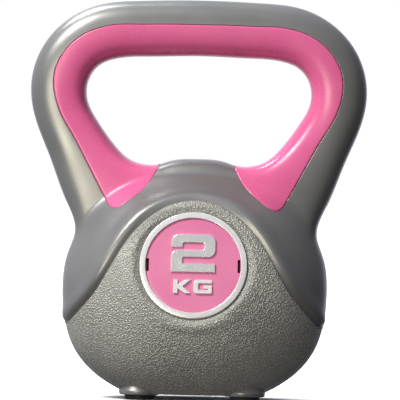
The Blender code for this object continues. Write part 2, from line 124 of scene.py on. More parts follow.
# The groove and the ridge above it, which both change within a depth of the mid-plane.
SIDE_DEPTH = 15.0
GROOVE_DEPTH, GROOVE_DEEPER = 1.0, 0.6
GROOVE_EDGE, GROOVE_POWER = 0.9, 1.3
RIDGE_HEIGHT, RIDGE_AT_SIDE = 1.25, 0.15
RIDGE_RISE, RIDGE_POWER = 3.6, 1.7
RIDGE_FALL = 4.6

# Steps of the meshes along their edges, and of the lines that distances are measured from.
LINE_STEP = 0.9
FINE_STEP = 0.2
GRIP_EDGE_POINTS, GROOVE_POINTS, OUTLINE_POINTS = 4000, 500, 1200
# Rows of a patch near its first and last edges, as distances, and the number of rows between.
HEAD_ROWS = (0, 0.12, 0.28, 0.5, 0.8, 1.3, 2.0, 3.0)
TAIL_ROWS = (0, 0.12, 0.28, 0.5, 0.8, 1.2, 1.7, 2.3, 3.0, 4.0, 5.5)
DISH_ROWS = (0, 0.3, 0.7, 1.1, 1.5, 1.9, 2.3, 2.7, 3.1, 3.5, 4.2)
BOWL_TAIL_ROWS, GRIP_HEAD_ROWS, GRIP_TAIL_ROWS = TAIL_ROWS[:8], HEAD_ROWS[:6], HEAD_ROWS[:7]
SKIN_ROWS, BOWL_ROWS, GRIP_ROWS = 28, 30, 22
# The rows near the edges take at most this share of a short line.
END_SHARE = 0.8
# A coordinate closer to zero than this lies on a mirror plane.
ON_PLANE = 1e-6

FEET = ("foot_front_left", "foot_front_right", "foot_rear_left", "foot_rear_right")
# Turned profiles as (radius, height, corner radius); a badge's heights are over its plane.
BOSS_PROFILE = (
    (0, 14.0, 0), (6.0, 14.0, 0), (8.0, 7.6, 4.0), (9.9, 4.4, 1.2), (9.7, 2.4, 0.6), (0, 2.4, 0))
BADGE_BACK = -3.1
RING_PROFILE = (
    (23.15, BADGE_BACK, 0), (25.45, BADGE_BACK, 0), (25.45, 0.7, 0.4), (22.6, 0.9, 0.35),
    (22.6, 0.2, 0.15), (23.15, 0.15, 0))
DISC_PROFILE = ((0, BADGE_BACK, 0), (23.0, BADGE_BACK, 0), (23.0, -0.1, 0.3))
CROWN_RADIUS, CROWN_HEIGHT, CROWN_STEPS = 22.0, 0.12, 12
SOLE_HOLLOW, SOLE_HOLLOW_RADIUS, SOLE_RIM_RADIUS = 0.35, 2.6, 3.0
PAD_TOP, STEM_RADIUS, STEM_TOP = 2.15, 2.8, 6.4
SLOT_X, SLOT_HALF_WIDTH, SLOT_HALF_HEIGHT, SLOT_ROUND = 21.6, 0.65, 3.1, 0.3
SLOT_FLOOR, SLOT_TOOL_TOP = -2.9, 2.0

# Block figures as (x, z, corner radius) from the badge's middle, clockwise.
FIGURE_TWO = (
    (-10.4, 8.5, 0.3), (-10.4, 14.8, 3.6), (10.4, 14.8, 3.6), (10.4, 3.9, 3.4), (-5.2, 3.9, 0.9),
    (-5.2, 0.8, 0.3), (10.4, 0.8, 0.3), (10.4, -3.3, 0.3), (-10.6, -3.3, 0.3), (-10.6, 7.3, 3.4),
    (5.1, 7.3, 1.0), (5.1, 10.9, 1.1), (-5.1, 10.9, 0.9), (-5.1, 8.5, 0.3))
LETTER_K = (
    (-9.1, -6.9, 0.15), (-7.0, -6.9, 0.15), (-7.0, -9.2, 0), (-3.5, -6.9, 0.15), (-0.8, -6.9, 0.15),
    (-4.8, -10.2, 0.3), (-0.8, -13.5, 0.15), (-3.5, -13.5, 0.15), (-7.0, -11.1, 0), (-7.0, -13.5, 0.15),
    (-9.1, -13.5, 0.15))
LETTER_G = (
    (9.2, -6.9, 0.8), (9.2, -8.6, 0.2), (2.7, -8.6, 0.5), (2.7, -11.8, 0.5), (7.2, -11.8, 0.2),
    (7.2, -11.1, 0.2), (5.0, -11.1, 0.2), (5.0, -9.5, 0.2), (9.2, -9.5, 0.3), (9.2, -13.5, 0.6),
    (0.4, -13.5, 1.6), (0.4, -6.9, 1.6))
FIGURE_FOOT, FIGURE_TOP, FIGURE_EDGE, FIGURE_BORDER = -0.2, 0.95, 0.25, 0.06
SMALLEST_ROUND = 0.02

# The studio: metres, degrees and watts. A turn goes from the front towards the right.
FLOOR_HALF_SIZE = 12.0
WORLD_DARK, WORLD_BRIGHT = 0.07, 0.6
WORLD_BRIGHT_SIDE = (-0.6, 0.15, 0.79)
WORLD_SIDE_FROM = -0.7
WORLD_BEHIND_FROM, WORLD_BEHIND_TO = 0.85, 0.97
WORLD_TINT = (0.93, 0.95, 1.08, 1)
OBJECT_MIDDLE = Vector((0, 0, 0.095))
# Soft boxes as (name, turn, rise, distance, size, power, colour).
SOFT_BOXES = (
    ("key", -46, 44, 1.3, (0.4, 0.4), 15.0, (1.0, 0.98, 0.94)),
    ("front", -20, -2, 1.7, (0.45, 0.6), 13.0, (1.0, 0.92, 0.72)),
    ("back", -135, 56, 1.4, (0.5, 0.5), 16.0, (0.97, 0.99, 1.0)),
)
FLOOR_LIGHT_TURN, FLOOR_LIGHT_RISE, FLOOR_LIGHT_DISTANCE = -30, 80, 2.0
FLOOR_LIGHT_POWER, FLOOR_LIGHT_SPREAD = 3.3, 80
CAMERA_TURN, CAMERA_RISE, CAMERA_ROLL = 1.3, 0.4, 1.2
CAMERA_AIM = Vector((0.0016, 0, 0.0956))
CAMERA_DISTANCE, VIEW_WIDTH = 2.5, 0.192
SENSOR_WIDTH = 36.0


# ---------------- outlines and surfaces

class ClosedCurve:
    """Smooth closed curve through the points of a right half outline and its mirror image."""

    def __init__(self, half):
        right = np.array(half, float)
        left = right[-2:0:-1] * (-1, 1)
        self.knots = np.vstack([right, left, right[:1]])
        spans = np.hypot(*np.diff(self.knots, axis=0).T)
        self.stations = np.concatenate([[0], np.cumsum(spans)])
        self.bends = self.solve_bends(spans)

    def solve_bends(self, spans):
        count = len(spans)
        matrix = np.zeros((count, count))
        right_side = np.zeros((count, 2))
        for i in range(count):
            before, after = spans[i - 1], spans[i]
            matrix[i, i - 1] += before
            matrix[i, i] += 2 * (before + after)
            matrix[i, (i + 1) % count] += after
            rise_after = (self.knots[i + 1] - self.knots[i]) / after
            rise_before = (self.knots[i] - self.knots[i - 1 if i else count - 1]) / before
            right_side[i] = 6 * (rise_after - rise_before)
        bends = np.linalg.solve(matrix, right_side)
        return np.vstack([bends, bends[:1]])

    def at(self, fraction):
        """Points at fractions of the way round, clockwise from the top centre."""
        station = np.mod(fraction, 1.0) * self.stations[-1]
        i = np.clip(np.searchsorted(self.stations, station, side="right") - 1, 0,
                    len(self.stations) - 2)
        span = (self.stations[i + 1] - self.stations[i])[..., None]
        b = (station - self.stations[i])[..., None] / span
        a = 1 - b
        line = a * self.knots[i] + b * self.knots[i + 1]
        sag = (a ** 3 - a) * self.bends[i] + (b ** 3 - b) * self.bends[i + 1]
        return line + sag * span ** 2 / 6

    def outward(self, fraction):
        step = 0.001
        tangent = self.at(fraction + step) - self.at(fraction - step)
        tangent /= np.linalg.norm(tangent, axis=-1, keepdims=True)
        return np.stack([-tangent[..., 1], tangent[..., 0]], axis=-1)


class Film:
    """Height of an evenly loaded film stretched between outlines, zero on each of them.

    The height is a paraboloid plus point sources that stand clear of the film's own area.
    """

    UNIT = 100.0
    BATCH = 20000

    def __init__(self, rims):
        edges, sources = [], []
        for curve, offset, count in rims:
            fine = np.arange(2 * count) / (2 * count)
            coarse = np.arange(count) / count
            edges.append(curve.at(fine))
            sources.append(curve.at(coarse) + offset * curve.outward(coarse))
        self.sources = np.vstack(sources) / self.UNIT
        edge = np.vstack(edges) / self.UNIT
        load = (edge ** 2).sum(axis=1) / 4
        self.weights = np.linalg.lstsq(self.terms(edge), load, rcond=1e-12)[0]

    def terms(self, points):
        apart = points[:, None, :] - self.sources[None, :, :]
        logs = 0.5 * np.log((apart ** 2).sum(axis=2))
        return np.hstack([logs, np.ones((len(points), 1))])

    def height(self, points):
        """Height in square millimetres for a load of one, at points (..., 2)."""
        flat = points.reshape(-1, 2) / self.UNIT
        value = np.empty(len(flat))
        for low in range(0, len(flat), self.BATCH):
            part = flat[low:low + self.BATCH]
            value[low:low + self.BATCH] = self.terms(part) @ self.weights - (part ** 2).sum(axis=1) / 4
        return np.maximum(value, 0).reshape(points.shape[:-1]) * self.UNIT ** 2


BODY = ClosedCurve(BODY_OUTLINE)
WINDOW = ClosedCurve(WINDOW_OUTLINE)
BOWL = ClosedCurve(BOWL_OUTLINE)
FRAME_FILM = Film([(BODY, *OUTER_SOURCES), (WINDOW, *WINDOW_SOURCES)])
BOWL_FILM = Film([(BOWL, *OUTER_SOURCES)])
BOWL_PEAK = BOWL_FILM.height(BOWL_MIDDLE[None])[0]


def smoothstep(value):
    value = np.clip(value, 0, 1)
    return value * value * (3 - 2 * value)


def bowl_share(points):
    """Height of the bowl's film as a share of its peak, and nothing beyond the bowl's outline."""
    rim = BOWL.at(np.linspace(0, 1, 400, endpoint=False)) - BOWL_MIDDLE
    apart = points - BOWL_MIDDLE
    reach = np.interp(np.arctan2(apart[..., 0], apart[..., 1]), np.arctan2(rim[:, 0], rim[:, 1]),
                      np.hypot(rim[:, 0], rim[:, 1]), period=2 * math.pi)
    inside = np.hypot(apart[..., 0], apart[..., 1]) < reach
    return np.where(inside, BOWL_FILM.height(points) / BOWL_PEAK, 0)


def half_depth(points):
    """Distance of the skin from the mid-plane: a rounded frame that swells into a bowl."""
    frame_part = FRAME_LOAD * FRAME_FILM.height(points)
    frame_part = frame_part / (1 + frame_part / FRAME_LIMIT ** 2)
    share = bowl_share(points)
    soft = SOFT_START * smoothstep((points[..., 1] - SOFT_FROM_Z) / (SOFT_TO_Z - SOFT_FROM_Z))
    share = share * share * (1 + soft) / (share + soft + 1e-9)
    bowl = BOWL_DEPTH * share ** BOWL_POWER
    return (frame_part ** (BLEND_POWER / 2) + bowl ** BLEND_POWER) ** (1 / BLEND_POWER)


def badge_radius(points):
    """Distance from the badge's axis, measured in the badge's own tilted plane."""
    return np.hypot(points[..., 0], (points[..., 1] - BADGE_Z) / math.cos(BADGE_TILT))


def lift(points):
    """Front skin over points (x, z), in space.

    Round the badge it keeps to a lip over the badge's plane, with a dished rim down to the pocket.
    """
    depth = half_depth(points)
    radius = badge_radius(points)
    plane = BADGE_DEPTH - (points[..., 1] - BADGE_Z) * math.tan(BADGE_TILT)
    flat = smoothstep((FLAT_TO - radius) / (FLAT_TO - FLAT_FROM))
    above = depth - plane
    depth = depth + flat * (np.clip(above, LIP_LOW, LIP_HIGH) - above)
    dish = np.clip((DISH_RADIUS - radius) / (DISH_RADIUS - POCKET_RADIUS), 0, 1) ** 2
    depth = depth + dish * (plane + DISH_LEVEL - depth)
    return np.stack([points[..., 0], -depth, points[..., 1]], axis=-1)


# ---------------- lines between edges

class Trail:
    """A line of points (x, z) that gives places by station and finds stations.

    Stations are lengths along the line in space: the first points lie on the skin, up to the
    given count, and the rest on the mid-plane.
    """

    def __init__(self, points, on_skin=0):
        self.points = np.asarray(points, float)
        raised = lift(self.points)
        raised[on_skin:, 1] = 0
        spans = np.linalg.norm(np.diff(raised, axis=0), axis=1)
        self.stations = np.concatenate([[0], np.cumsum(spans)])

    def at(self, stations):
        columns = [np.interp(stations, self.stations, self.points[:, k]) for k in range(2)]
        return np.stack(columns, axis=-1)

    def find(self, place):
        return self.stations[np.argmin(((self.points - place) ** 2).sum(axis=1))]


def open_curve(points, count):
    """Smooth open curve through points."""
    knots = np.array(points, float)
    spans = np.hypot(*np.diff(knots, axis=0).T)
    stations = np.concatenate([[0], np.cumsum(spans)])
    slopes = np.gradient(knots, stations, axis=0)
    where = np.linspace(0, stations[-1], count)
    i = np.clip(np.searchsorted(stations, where, side="right") - 1, 0, len(spans) - 1)
    span = spans[i][:, None]
    b = (where - stations[i])[:, None] / span
    return (
        (1 + 2 * b) * (1 - b) ** 2 * knots[i] + b * (1 - b) ** 2 * span * slopes[i]
        + b * b * (3 - 2 * b) * knots[i + 1] + b * b * (b - 1) * span * slopes[i + 1])


def symmetric_curve(points, count):
    """Smooth curve through points whose first one is on the axis, level there."""
    points = list(points)
    full = [(-x, z) for x, z in points[:0:-1]] + points
    return open_curve(full, 2 * count - 1)[count - 1:]


def half_outline(curve):
    return curve.at(np.linspace(0, 0.5, OUTLINE_POINTS))


def nearest_index(points, place):
    return int(np.argmin(((points - place) ** 2).sum(axis=1)))


def fine_line(trail, start=0.0, stop=None):
    """Closely spaced points on the skin between two stations of a trail, by default all of it."""
    stop = trail.stations[-1] if stop is None else stop
    return lift(trail.at(np.arange(start, stop, FINE_STEP)))


def grip_edge_points():
    return symmetric_curve(GRIP_EDGE, GRIP_EDGE_POINTS)


def skin_edges():
    """The smooth skin's inner edge, its outer edge, and where each changes its kind."""
    grip = grip_edge_points()
    window = half_outline(WINDOW)
    hump = window[nearest_index(window, grip[-1]):]
    inner = Trail(np.vstack([grip[:-1], hump]), len(grip) - 1)
    outline = half_outline(BODY)
    groove = symmetric_curve(GROOVE_LINE, GROOVE_POINTS)[::-1]
    corner = nearest_index(outline, groove[0])
    groove[0] = outline[corner]
    outer = Trail(np.vstack([outline[:corner], groove]))
    return inner, outer, inner.stations[len(grip) - 1], outer.stations[corner]


def paired_stations(first, second, pairs, stops=()):
    """Stations along two trails, step by step, that keep the paired places opposite each other.

    Each stop is a trail and a station on it that one of the steps has to meet.
    """
    a = np.array([first.find(pair[0]) for pair in pairs])
    b = np.array([second.find(pair[1]) for pair in pairs])
    a[0], b[0], a[-1], b[-1] = 0, 0, first.stations[-1], second.stations[-1]
    steps = np.maximum(np.diff(a), np.diff(b))
    ticks = np.concatenate([[0], np.cumsum(steps)])
    where = np.linspace(0, ticks[-1], int(ticks[-1] / LINE_STEP) + 1)
    for trail, station in stops:
        tick = np.interp(station, a if trail is first else b, ticks)
        where[np.argmin(np.abs(where - tick))] = tick
    return np.interp(where, ticks, a), np.interp(where, ticks, b)


def row_places(starts, ends, head, tail, between):
    """Places along the lines from starts to ends, spaced by their real length on the skin.

    Head and tail are distances of rows from the two ends, with a number of even rows between.
    """
    share = 0.5 - 0.5 * np.cos(np.pi * np.linspace(0, 1, 241))
    flat = starts[:, None, :] + (ends - starts)[:, None, :] * share[None, :, None]
    spans = np.linalg.norm(np.diff(lift(flat), axis=1), axis=2)
    length = np.concatenate([np.zeros((len(starts), 1)), np.cumsum(spans, axis=1)], axis=1)
    rows = []
    for k in range(len(starts)):
        total = length[k, -1]
        squeeze = min(1.0, END_SHARE * total / (head[-1] + tail[-1]))
        near_start = np.array(head) * squeeze
        near_end = total - np.array(tail[::-1]) * squeeze
        inside = np.linspace(near_start[-1], near_end[0], between + 2)[1:-1]
        stops = np.concatenate([near_start, inside, near_end])
        rows.append(np.interp(stops, length[k], share))
    return starts[:, None, :] + (ends - starts)[:, None, :] * np.array(rows)[..., None]


def grid_normals(grid):
    """Unit normals of a grid of front skin points, kept in the planes x = 0 and y = 0."""
    normal = np.cross(np.gradient(grid, axis=0), np.gradient(grid, axis=1))
    normal *= -np.sign(normal[..., 1].sum())
    for axis in (0, 1):
        normal[..., axis] = np.where(np.abs(grid[..., axis]) < ON_PLANE, 0, normal[..., axis])
    return normal / (np.linalg.norm(normal, axis=-1, keepdims=True) + 1e-12)


def distance_to(grid, line, batch=4000):
    """Distance of each grid point from a line of points in space."""
    flat = grid.reshape(-1, 3)
    result = np.empty(len(flat))
    for low in range(0, len(flat), batch):
        part = flat[low:low + batch]
        apart = ((part[:, None, :] - line[None, :, :]) ** 2).sum(axis=2)
        result[low:low + batch] = np.sqrt(apart.min(axis=1))
    return result.reshape(grid.shape[:-1])


def rounded_edge(distance, radius):
    """Drop of a rounded edge, from its radius at the edge to none a radius away."""
    inside = np.clip(radius - distance, 0, radius)
    return radius - np.sqrt(radius * radius - inside * inside)


# ---------------- mesh helpers

class Patchwork:
    """Collects grids of points into one mesh, with a material for each grid."""

    def __init__(self):
        self.points, self.faces, self.kinds = [], [], []

    def add(self, grid, kind, closed=False):
        """Add a grid of faces; a closed grid's last row joins its first."""
        rows, columns = grid.shape[:2]
        shift = len(self.points)
        self.points += [tuple(point) for point in grid.reshape(-1, 3)]
        for i in range(rows if closed else rows - 1):
            after = (i + 1) % rows
            for j in range(columns - 1):
                a, b = shift + i * columns + j, shift + after * columns + j
                self.faces.append((a, b, b + 1, a + 1))
                self.kinds.append(kind)

    def mesh(self):
        work = bmesh.new()
        self.verts = [work.verts.new([MM * float(value) for value in point]) for point in self.points]
        for face, kind in zip(self.faces, self.kinds):
            made = work.faces.new([self.verts[k] for k in face])
            made.material_index = kind
        return work

    def build(self, name, materials, mirror=(), weld=0.01):
        """Mesh object, mirrored along the given axes and welded on their planes."""
        work = self.mesh()
        bmesh.ops.remove_doubles(work, verts=work.verts, dist=weld * MM)
        for axis in mirror:
            copy = bmesh.ops.duplicate(work, geom=work.verts[:] + work.edges[:] + work.faces[:])["geom"]
            for vert in [item for item in copy if isinstance(item, bmesh.types.BMVert)]:
                vert.co[axis] = -vert.co[axis]
            faces = [item for item in copy if isinstance(item, bmesh.types.BMFace)]
            bmesh.ops.reverse_faces(work, faces=faces)
            bmesh.ops.remove_doubles(work, verts=work.verts, dist=weld * MM)
        bmesh.ops.dissolve_degenerate(work, edges=work.edges, dist=0.002 * MM)
        bmesh.ops.recalc_face_normals(work, faces=work.faces)
        return finish_mesh(name, work, materials)


def finish_mesh(name, work, materials, sharp_angle=40):
    mesh = bpy.data.meshes.new(name)
    work.to_mesh(mesh)
    work.free()
    mesh.shade_smooth()
    mesh.set_sharp_from_angle(angle=math.radians(sharp_angle))
    for material in materials:
        mesh.materials.append(material)
    item = bpy.data.objects.new(name, mesh)
    bpy.context.scene.collection.objects.link(item)
    return item


def turned_grid(profile, sides, place):
    """Grid of a solid of revolution: one row for each side, one column for each profile point."""
    grid = np.zeros((sides, len(profile), 3))
    for k in range(sides):
        angle = 2 * math.pi * k / sides
        for j, (radius, height) in enumerate(profile):
            grid[k, j] = place(radius * math.cos(angle), radius * math.sin(angle), height)
    return grid


def fillet(corners, steps=4):
    """Profile of (x, y, radius) corners with each corner turned into an arc."""
    result = []
    for k, (x, y, radius) in enumerate(corners):
        here = np.array((x, y), float)
        if radius <= 0:
            result.append((x, y))
            continue
        before = corners[k - 1][:2] - here
        after = corners[(k + 1) % len(corners)][:2] - here
        before /= np.linalg.norm(before)
        after /= np.linalg.norm(after)
        half = math.acos(np.clip(before @ after, -1, 1)) / 2
        reach = radius / math.tan(half)
        start, stop = here + before * reach, here + after * reach
        centre = here + (before + after) / np.linalg.norm(before + after) * radius / math.sin(half)
        first, last = start - centre, stop - centre
        turn = math.acos(np.clip(first @ last / radius ** 2, -1, 1))
        for step in range(steps + 1):
            share = step / steps
            blend = math.sin((1 - share) * turn) * first + math.sin(share * turn) * last
            result.append(tuple(centre + blend / math.sin(turn)))
    return result


def upright(centre):
    """Place (across, along, height) round a vertical axis through a centre."""
    return lambda u, v, height: (centre.x + u, centre.y + v, height)


def on_badge(side):
    """Place (across, up, out) on a badge plane; side is -1 at the front and 1 at the rear."""
    cosine, sine = math.cos(BADGE_TILT), math.sin(BADGE_TILT)

    def place(across, up, out):
        depth = BADGE_DEPTH + out * cosine - up * sine
        return (-side * across, side * depth, BADGE_Z + up * cosine + out * sine)
    return place


# ---------------- shell

def groove_depth(depth):
    """The groove is deeper at the side of the body, where it notches the outline."""
    return GROOVE_DEPTH * (1 + GROOVE_DEEPER * (1 - smoothstep(depth / SIDE_DEPTH)))


def ridge_offset(distance, depth):
    """Rise of the smooth skin beside the groove: up from the groove to a soft ridge, then away.

    The ridge is lower near the mid-plane, at the side of the body.
    """
    height = RIDGE_HEIGHT * (RIDGE_AT_SIDE + (1 - RIDGE_AT_SIDE) * smoothstep(depth / SIDE_DEPTH))
    to_top = 1 - np.clip(distance / RIDGE_RISE, 0, 1)
    rise = height - (height + groove_depth(depth)) * to_top ** RIDGE_POWER
    fall = height * np.exp(-(np.maximum(distance - RIDGE_RISE, 0) / RIDGE_FALL) ** 2)
    return np.where(distance < RIDGE_RISE, rise, fall)


def make_shell(smooth, grained):
    """The shell's skin: smooth above the groove, grained below, with grip recess and badge pockets.

    A front right quarter is built from patches and mirrored twice.
    """
    inner, outer, grip_end, corner = skin_edges()
    first, second = paired_stations(inner, outer, SKIN_PAIRS, ((inner, grip_end), (outer, corner)))
    starts, ends = inner.at(first), outer.at(second)
    for edge in (starts, ends):
        edge[[0, -1], 0] = 0
    in_grip = first <= grip_end + ON_PLANE
    in_groove = second >= corner - ON_PLANE
    groove_flat = ends[in_groove]
    groove_line = fine_line(outer, start=corner)
    grip_line = fine_line(inner, stop=grip_end)
    patches = Patchwork()

    skin = lift(row_places(starts, ends, HEAD_ROWS, TAIL_ROWS, SKIN_ROWS))
    skin[~in_grip, 0, 1] = 0
    skin[~in_groove, -1, 1] = 0
    skin[np.argmax(in_groove), -1, 1] = 0
    normals = grid_normals(skin)
    near_end = smoothstep((grip_end - first) / RECESS_FADE)[:, None]
    drop = rounded_edge(distance_to(skin, grip_line), RECESS_ROUND) * near_end
    rise = ridge_offset(distance_to(skin, groove_line), -skin[..., 1])
    moved = keep_planes(skin, skin + normals * (rise - drop)[..., None])
    patches.add(moved, 0)

    edge, edge_normals = skin[in_grip, 0], normals[in_grip, 0]
    wall = np.stack([edge - edge_normals * level for level in RECESS_LEVELS], axis=1)
    on_edge = np.repeat(edge[:, None], len(RECESS_LEVELS), axis=1)
    patches.add(keep_planes(on_edge, wall)[:, ::-1], 0)

    patches.add(bowl_grid(groove_flat, groove_line, moved[in_groove, -1]), 1)
    patches.add(pocket_grid(groove_flat), 1)
    return patches.build("shell_skin", [smooth, grained], mirror=(0, 1))


def keep_planes(reference, moved):
    """Moved points, where those that lay on x = 0 or y = 0 stay there."""
    moved = moved.copy()
    moved[..., 0] = np.where(np.abs(reference[..., 0]) < ON_PLANE, 0, moved[..., 0])
    moved[..., 1] = np.where(np.abs(reference[..., 1]) < ON_PLANE, 0, np.minimum(moved[..., 1], 0))
    return moved


def bowl_rim(groove_flat):
    """The bowl's rim as (x, z): the groove from the top to the side, the outline, and the base.

    The number of places along the groove and along the outline follow it.
    """
    outline = half_outline(BODY)
    below = outline[nearest_index(outline, groove_flat[0]):]
    below = below[below[:, 1] > BASE_Z]
    side = Trail(below)
    length = side.stations[-1]
    side_places = side.at(np.linspace(0, length, int(length / LINE_STEP)))
    last = side_places[-1] * (1, 0) + (0, BASE_Z)
    side_places[-1] = last
    base_x = np.linspace(last[0], 0, int(last[0] / LINE_STEP))[1:]
    base = np.stack([base_x, np.full_like(base_x, BASE_Z)], axis=1)
    return np.vstack([groove_flat[::-1], side_places[1:], base]), len(groove_flat), len(side_places)


def circle_places(rim):
    """Places (across, up) of the pocket's edge that face the rim's points from the badge's middle."""
    angle = np.arctan2((rim[:, 1] - BADGE_Z) / math.cos(BADGE_TILT), rim[:, 0])
    across = POCKET_RADIUS * np.cos(angle)
    up = POCKET_RADIUS * np.sin(angle)
    across[[0, -1]] = 0
    return across, up


def pocket_edge(across, up):
    """The pocket's edge as (x, z)."""
    return np.stack([across, BADGE_Z + up * math.cos(BADGE_TILT)], axis=1)


def bowl_grid(groove_flat, groove_line, groove_bottom):
    """The grained bowl from the pocket's edge out to its rim, which meets the groove's bottom."""
    rim, groove_count, side_count = bowl_rim(groove_flat)
    starts = pocket_edge(*circle_places(rim))
    skin = lift(row_places(starts, rim, DISH_ROWS, BOWL_TAIL_ROWS, BOWL_ROWS))
    on_side = slice(groove_count - 1, groove_count + side_count - 1)
    skin[on_side, -1, 1] = 0
    normals = grid_normals(skin)
    to_groove = 1 - np.clip(distance_to(skin, groove_line) / GROOVE_EDGE, 0, 1)
    groove = -groove_depth(-skin[..., 1]) * to_groove ** GROOVE_POWER
    moved = keep_planes(skin, skin + normals * groove[..., None])
    moved[:groove_count, -1] = groove_bottom[::-1]
    return moved


def pocket_grid(groove_flat):
    """The pocket behind the badge: its wall and its floor."""
    across, up = circle_places(bowl_rim(groove_flat)[0])
    place = on_badge(-1)
    columns = [lift(pocket_edge(across, up))]
    for share, out in ((1, POCKET_STEP), (1, POCKET_FLOOR), (0, POCKET_FLOOR)):
        columns.append(np.array([place(a * share, u * share, out) for a, u in zip(across, up)]))
    return np.stack(columns[::-1], axis=1)


# ---------------- grip

def grip_normals(skin, window_edge):
    """Normals of the grip's skin, which turn into the window where the grip runs out to nothing."""
    normals = grid_normals(skin)
    tangent = np.gradient(window_edge, axis=0)
    into_window = np.stack([tangent[:, 1], np.zeros(len(tangent)), -tangent[:, 0]], axis=1)
    into_window /= np.linalg.norm(into_window, axis=1, keepdims=True)
    outward = into_window[:, None, :] + np.array((0, -1, 0))
    facing = (normals * outward).sum(axis=-1, keepdims=True)
    normals *= np.where(facing < 0, -1, 1)
    width = np.linalg.norm(skin[:, -1] - skin[:, 0], axis=1)
    steady = smoothstep(width / GRIP_STEADY_WIDTH)[:, None, None]
    normals = steady * normals + (1 - steady) * into_window[:, None, :]
    return normals / np.linalg.norm(normals, axis=-1, keepdims=True)


def grip_layers():
    """Upper and lower faces of the front grip's right half, from the window out to its edge."""
    edge_points = grip_edge_points()
    edge = Trail(edge_points, len(edge_points) - 1)
    window = half_outline(WINDOW)
    window = Trail(window[:nearest_index(window, edge.points[-1]) + 1])
    first, second = paired_stations(window, edge, GRIP_PAIRS)
    starts, ends = window.at(first), edge.at(second)
    starts[0, 0] = ends[0, 0] = 0
    along = ends - starts
    length = np.linalg.norm(along, axis=1, keepdims=True)
    ends = starts + along * np.clip(1 - GRIP_GAP / np.maximum(length, 0.01), 0.05, 1)
    skin = lift(row_places(starts, ends, GRIP_HEAD_ROWS, GRIP_TAIL_ROWS, GRIP_ROWS))
    skin[:, 0, 1] = 0
    normals = grip_normals(skin, starts)
    seam_line = fine_line(Trail(starts))
    seam_line[:, 1] = 0
    drop = rounded_edge(distance_to(skin, fine_line(Trail(ends))), GRIP_ROUND)
    drop = drop + rounded_edge(distance_to(skin, seam_line), SEAM_ROUND)
    top = skin + normals * (GRIP_PROUD - drop)[..., None]
    under = skin - normals * GRIP_THICKNESS
    for layer in (top, under):
        layer[0, :, 0] = 0
        layer[..., 1] = np.minimum(layer[..., 1], -SEAM_HALF_GAP)
    return top, under


def make_grips(material):
    """The two grip halves, front and rear, as closed shells."""
    top, under = grip_layers()
    grips = []
    for side, name in ((-1, "grip_front_half"), (1, "grip_rear_half")):
        patches = Patchwork()
        patches.add(top, 0)
        patches.add(under[:, ::-1], 0)
        for pair in ((top[:, -1], under[:, -1]), (under[:, 0], top[:, 0]), (top[-1], under[-1])):
            patches.add(np.stack(pair, axis=1), 0)
        if side > 0:
            patches.points = [(x, -y, z) for x, y, z in patches.points]
        grips.append(patches.build(name, [material], mirror=(0,)))
    return grips


# ---------------- materials

class Nodes:
    """Short calls for the nodes used here, in the tree of a material or of the world."""

    def __init__(self, owner, shader="Principled BSDF", place="Object"):
        owner.use_nodes = True
        self.owner = owner
        self.tree = owner.node_tree
        self.shader = self.tree.nodes[shader]
        self.place = self.add("ShaderNodeTexCoord").outputs[place]

    def add(self, kind, **values):
        node = self.tree.nodes.new(kind)
        for key, value in values.items():
            setattr(node, key, value)
        return node

    def link(self, source, target):
        self.tree.links.new(source, target)

    def noise(self, scale, detail=2.0, roughness=0.5, output="Fac"):
        node = self.add("ShaderNodeTexNoise")
        for key, value in (("Scale", scale), ("Detail", detail), ("Roughness", roughness)):
            node.inputs[key].default_value = value
        self.link(self.place, node.inputs["Vector"])
        return node.outputs[output]

    def warped(self, offset, size):
        """The place moved by a colour as a vector, times a size in metres."""
        node = self.add("ShaderNodeVectorMath", operation="MULTIPLY_ADD")
        self.link(offset, node.inputs[0])
        node.inputs[1].default_value = (size, size, size)
        self.link(self.place, node.inputs[2])
        return node.outputs["Vector"]

    def pebbles(self, scale, smoothness, place):
        """Distance from the middles of rounded cells."""
        node = self.add("ShaderNodeTexVoronoi", feature="SMOOTH_F1")
        node.inputs["Scale"].default_value = scale
        node.inputs["Smoothness"].default_value = smoothness
        self.link(place, node.inputs["Vector"])
        return node.outputs["Distance"]

    def ramp(self, source, stops):
        """Colour that goes from one stop's to the other's; a stop is (position, colour)."""
        node = self.add("ShaderNodeValToRGB")
        for element, (position, colour) in zip(node.color_ramp.elements, stops):
            element.position = position
            element.color = (*colour, 1)
        self.link(source, node.inputs["Fac"])
        return node.outputs["Color"]

    def span(self, source, low, high, from_low=0.0, from_high=1.0, kind="LINEAR"):
        """The source's range mapped to another one."""
        node = self.add("ShaderNodeMapRange", interpolation_type=kind)
        ends = (("From Min", from_low), ("From Max", from_high), ("To Min", low), ("To Max", high))
        for key, value in ends:
            node.inputs[key].default_value = value
        self.link(source, node.inputs["Value"])
        return node.outputs["Result"]

    def math(self, operation, first, second):
        node = self.add("ShaderNodeMath", operation=operation)
        for socket, value in zip(node.inputs, (first, second)):
            if isinstance(value, float):
                socket.default_value = value
            else:
                self.link(value, socket)
        return node.outputs["Value"]

    def bump(self, height, strength, distance):
        node = self.add("ShaderNodeBump")
        node.inputs["Strength"].default_value = strength
        node.inputs["Distance"].default_value = distance
        self.link(height, node.inputs["Height"])
        return node.outputs["Normal"]

    def finish(self, normal=None, colour=None, roughness=None):
        for source, socket in ((normal, "Normal"), (colour, "Base Color"), (roughness, "Roughness")):
            if source is not None:
                self.link(source, self.shader.inputs[socket])
        return self.owner


def new_material(name):
    return Nodes(bpy.data.materials.new(name))


